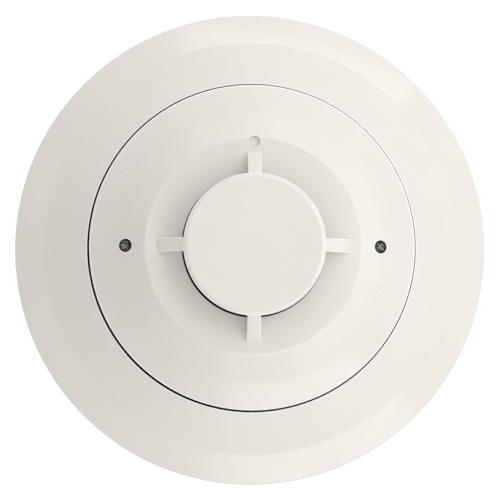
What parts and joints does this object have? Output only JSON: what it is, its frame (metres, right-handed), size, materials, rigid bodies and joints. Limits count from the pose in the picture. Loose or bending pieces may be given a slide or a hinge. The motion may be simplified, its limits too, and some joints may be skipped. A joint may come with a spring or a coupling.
{
  "type": "heat detector",
  "caption": "Round plug-in heat detector: domed white head with a ribbed sensor cap, on a wide flanged twist-lock mounting base.",
  "frame": {"origin": "centre of the base's back face, which lies against the ceiling or wall", "axes": "+Z out of the ceiling, along the detector's axis; +Y towards the test mark on the cover; the two lamp windows are on +X and -X"},
  "size_m": [0.155, 0.155, 0.051],
  "materials": {
    "base_white": "moulded, satin, warm white",
    "cover_white": "moulded, semi-gloss, warm white",
    "contact_brass": "stamped strip",
    "plated_steel": "zinc plated",
    "board_green": "glass-fibre laminate with solder mask",
    "black_plastic": "moulded case",
    "dial_white": "moulded",
    "lamp_red": "tinted epoxy",
    "smoked_lens": "smoked clear moulding",
    "sensor_epoxy": "dipped epoxy bead on tinned leads",
    "capacitor_sleeve": "shrunk sleeve over a can",
    "ferrite": "ferrite drum",
    "arrester_blue": "dipped disc",
    "reed_glass": "glass tube on tinned leads",
    "label_paper": "plain printed-film label, blank"
  },
  "bodies": {
    "base": {"mounting_base": "base_white", "contact_spring_1": "contact_brass", "contact_spring_2": "contact_brass", "contact_spring_3": "contact_brass", "contact_spring_4": "contact_brass"},
    "ring": {"trim_ring": "base_white"},
    "lever": {"tamper_lever": "base_white"},
    "head": {"front_cover": "cover_white", "rear_housing": "base_white", "contact_blade_1": "contact_brass", "contact_blade_2": "contact_brass", "contact_blade_3": "contact_brass", "contact_blade_4": "contact_brass", "circuit_board": "board_green", "board_screw_1": "plated_steel", "board_screw_2": "plated_steel", "board_screw_3": "plated_steel", "tens_switch": "black_plastic", "ones_switch": "black_plastic", "lamp_left": "lamp_red", "lamp_right": "lamp_red", "light_pipe_left": "smoked_lens", "light_pipe_right": "smoked_lens", "sensor_support": "black_plastic", "thermistor_1": "sensor_epoxy", "thermistor_2": "sensor_epoxy", "microcontroller": "black_plastic", "bridge_rectifier": "black_plastic", "storage_capacitor": "capacitor_sleeve", "choke": "ferrite", "surge_arrester": "arrester_blue", "reed_switch": "reed_glass", "rating_label": "label_paper"},
    "tens": {"tens_dial": "dial_white"},
    "ones": {"ones_dial": "dial_white"},
    "clamp_1": {"clamp_plate_1": "plated_steel"},
    "screw_1": {"terminal_screw_1": "plated_steel"},
    "clamp_2": {"clamp_plate_2": "plated_steel"},
    "screw_2": {"terminal_screw_2": "plated_steel"},
    "clamp_3": {"clamp_plate_3": "plated_steel"},
    "screw_3": {"terminal_screw_3": "plated_steel"},
    "clamp_4": {"clamp_plate_4": "plated_steel"},
    "screw_4": {"terminal_screw_4": "plated_steel"}
  },
  "joints": [
    {"name": "head_twist", "type": "hinge", "parent": "base", "child": "head", "pos_m": [0, 0, 0.012], "axis": [0, 0, 1], "range_deg": [0, 20]},
    {"name": "ring_turn", "type": "hinge", "parent": "base", "child": "ring", "pos_m": [0, 0, 0.01], "axis": [0, 0, 1], "range_deg": [-12, 12]},
    {"name": "lever_press", "type": "hinge", "parent": "base", "child": "lever", "pos_m": [0.02943, 0.03362, 0.0058], "axis": [-0.4695, -0.8829, 0], "range_deg": [0, 4], "stiffness_Nm_per_rad": 0.25},
    {"name": "tens_turn", "type": "hinge", "parent": "head", "child": "tens", "pos_m": [-0.0085, -0.01, 0.012], "axis": [0, 0, 1], "continuous": true},
    {"name": "ones_turn", "type": "hinge", "parent": "head", "child": "ones", "pos_m": [0.0085, -0.01, 0.012], "axis": [0, 0, 1], "continuous": true},
    {"name": "clamp_lift_1", "type": "slide", "parent": "base", "child": "clamp_1", "axis": [0, 0, 1], "range_m": [0, 0.002]},
    {"name": "screw_turn_1", "type": "hinge", "parent": "clamp_1", "child": "screw_1", "pos_m": [0.03802, -0.00124, 0.005], "axis": [0, 0, 1], "range_deg": [0, 900]},
    {"name": "clamp_lift_2", "type": "slide", "parent": "base", "child": "clamp_2", "axis": [0, 0, 1], "range_m": [0, 0.002]},
    {"name": "screw_turn_2", "type": "hinge", "parent": "clamp_2", "child": "screw_2", "pos_m": [0.00124, 0.03802, 0.005], "axis": [0, 0, 1], "range_deg": [0, 900]},
    {"name": "clamp_lift_3", "type": "slide", "parent": "base", "child": "clamp_3", "axis": [0, 0, 1], "range_m": [0, 0.002]},
    {"name": "screw_turn_3", "type": "hinge", "parent": "clamp_3", "child": "screw_3", "pos_m": [-0.03802, 0.00124, 0.005], "axis": [0, 0, 1], "range_deg": [0, 900]},
    {"name": "clamp_lift_4", "type": "slide", "parent": "base", "child": "clamp_4", "axis": [0, 0, 1], "range_m": [0, 0.002]},
    {"name": "screw_turn_4", "type": "hinge", "parent": "clamp_4", "child": "screw_4", "pos_m": [-0.00124, -0.03802, 0.005], "axis": [0, 0, 1], "range_deg": [0, 900]}
  ],
  "couplings": [
    {"joint": "screw_turn_1", "follows": "clamp_lift_1", "rad_per_m": 7854},
    {"joint": "screw_turn_2", "follows": "clamp_lift_2", "rad_per_m": 7854},
    {"joint": "screw_turn_3", "follows": "clamp_lift_3", "rad_per_m": 7854},
    {"joint": "screw_turn_4", "follows": "clamp_lift_4", "rad_per_m": 7854}
  ]
}
